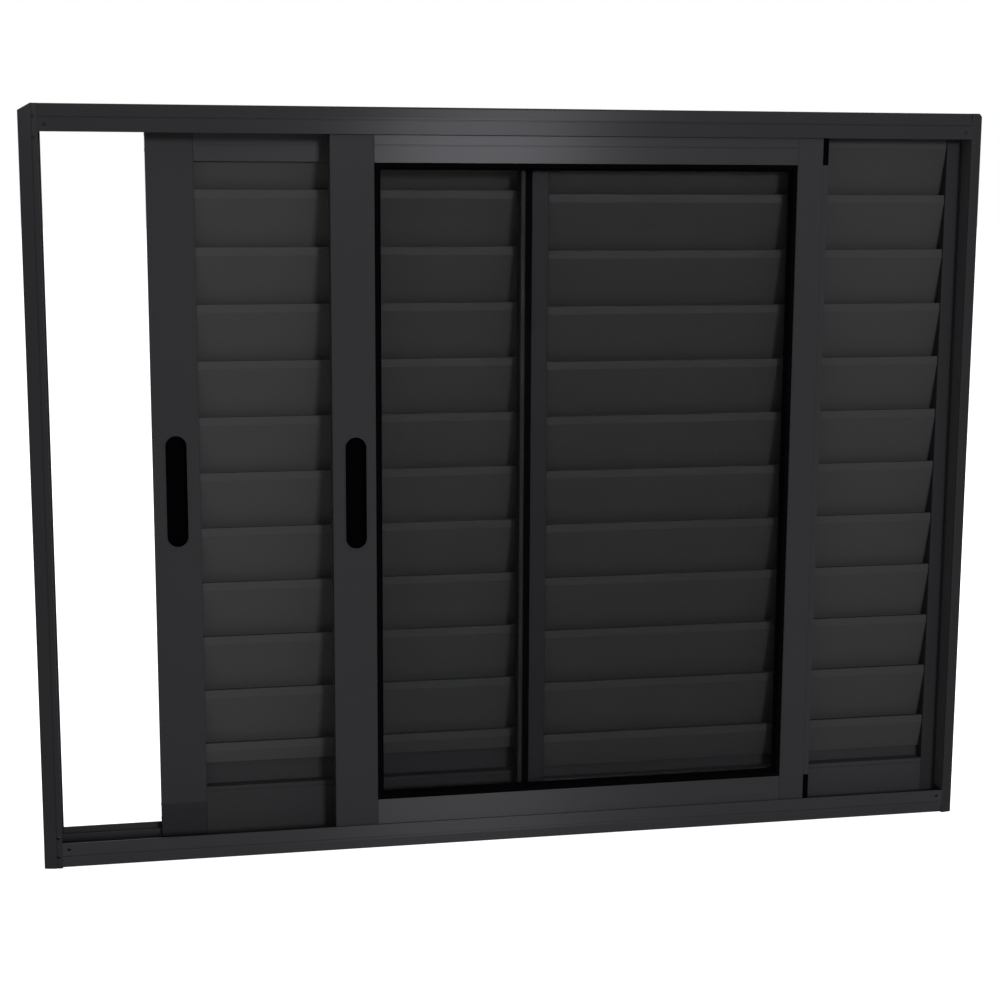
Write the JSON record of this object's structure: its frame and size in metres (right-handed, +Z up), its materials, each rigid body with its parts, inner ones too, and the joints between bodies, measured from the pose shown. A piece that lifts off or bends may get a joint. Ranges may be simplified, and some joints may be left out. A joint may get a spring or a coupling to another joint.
{
  "type": "louvred sliding window",
  "caption": "Aluminium sliding window with a fixed louvred half, a sliding louvred leaf behind it and a sliding glass leaf in front.",
  "frame": {"origin": "middle of the sill's underside, centred in width and depth", "axes": "+X to the right as seen from the room, +Y out through the wall, +Z up"},
  "size_m": [1.29, 0.084, 1],
  "materials": {
    "gasket_rubber": "matt",
    "moulded_nylon": "matt",
    "pile_seal": "pile",
    "powder_coat": "black powder coat, satin",
    "roller_nylon": "matt",
    "window_glass": "clear",
    "zinc_steel": "plated"
  },
  "bodies": {
    "root": {"centre_mullion": "powder_coat", "fixed_blades": "powder_coat", "fixed_bottom_rail": "powder_coat", "fixed_closer": "powder_coat", "fixed_end_stile": "powder_coat", "fixed_top_rail": "powder_coat", "gasket_outside": "gasket_rubber", "gasket_room_side": "gasket_rubber", "glass_bottom_rail": "powder_coat", "glass_carriages": "zinc_steel", "glass_guides": "moulded_nylon", "glass_handle_stile": "powder_coat", "glass_interlock": "powder_coat", "glass_meeting_stile": "powder_coat", "glass_pane": "window_glass", "glass_pull_cup": "moulded_nylon", "glass_top_rail": "powder_coat", "glass_wheels": "roller_nylon", "head_track": "powder_coat", "interlock_blocks": "moulded_nylon", "jamb_left": "powder_coat", "jamb_right": "powder_coat", "louvre_blades": "powder_coat", "louvre_bottom_rail": "powder_coat", "louvre_carriages": "zinc_steel", "louvre_closer": "powder_coat", "louvre_guides": "moulded_nylon", "louvre_handle_stile": "powder_coat", "louvre_meeting_stile": "powder_coat", "louvre_pull_cup": "moulded_nylon", "louvre_top_rail": "powder_coat", "louvre_wheels": "roller_nylon", "mullion_pile": "pile_seal", "setting_blocks": "gasket_rubber", "sill_track": "powder_coat"}
  },
  "joints": []
}
